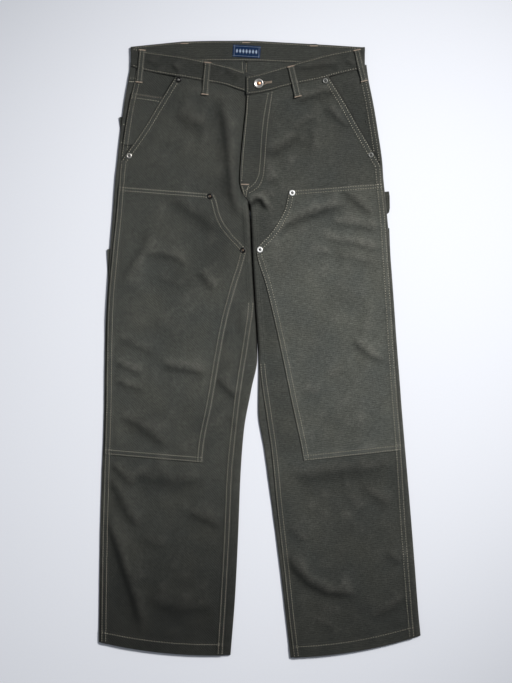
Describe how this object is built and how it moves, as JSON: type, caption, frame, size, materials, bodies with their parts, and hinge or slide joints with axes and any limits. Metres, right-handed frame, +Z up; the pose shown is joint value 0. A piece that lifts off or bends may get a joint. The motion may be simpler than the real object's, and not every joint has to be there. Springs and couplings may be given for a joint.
{
  "type": "double-knee carpenter trousers laid flat",
  "caption": "Double-knee carpenter work trousers laid flat, front up: waistband with belt loops, shank button, slash pockets, coin pocket, riveted knee patches and hemmed wide legs.",
  "frame": {"origin": "on the surface that the trousers lie on, under the middle of their outline", "axes": "+Y towards the waistband, +X towards the wearer's left leg, +Z up out of the surface, front of the trousers uppermost"},
  "size_m": [0.5792, 1.1122, 0.0127],
  "materials": {
    "duck": "washed cotton duck canvas, matt with a slight nap",
    "label": "woven satin label",
    "nickel": "worn nickel plate",
    "bronze": "dark antiqued bronze"
  },
  "bodies": {
    "root": {"front_panel_right": "duck", "front_panel_left": "duck", "back_panel_right": "duck", "back_panel_left": "duck", "back_yoke_right": "duck", "back_yoke_left": "duck", "knee_patch_right": "duck", "knee_patch_left": "duck", "pocket_facing_right": "duck", "pocket_facing_left": "duck", "coin_pocket": "duck", "waistband": "duck", "belt_loop_side_right": "duck", "belt_loop_front_right": "duck", "belt_loop_front_left": "duck", "belt_loop_side_left": "duck", "belt_loop_back_right": "duck", "belt_loop_back_centre": "duck", "belt_loop_back_left": "duck", "back_pocket_right": "duck", "back_pocket_left": "duck", "tool_pocket_right": "duck", "ruler_pocket_right": "duck", "utility_pocket_left": "duck", "hammer_loop_left": "duck", "label": "label", "button": "nickel", "rivet_slash_top_right": "bronze", "rivet_slash_end_right": "nickel", "rivet_patch_top_right": "bronze", "rivet_patch_point_right": "bronze", "rivet_slash_top_left": "nickel", "rivet_slash_end_left": "nickel", "rivet_patch_top_left": "nickel", "rivet_patch_point_left": "nickel"}
  },
  "joints": []
}
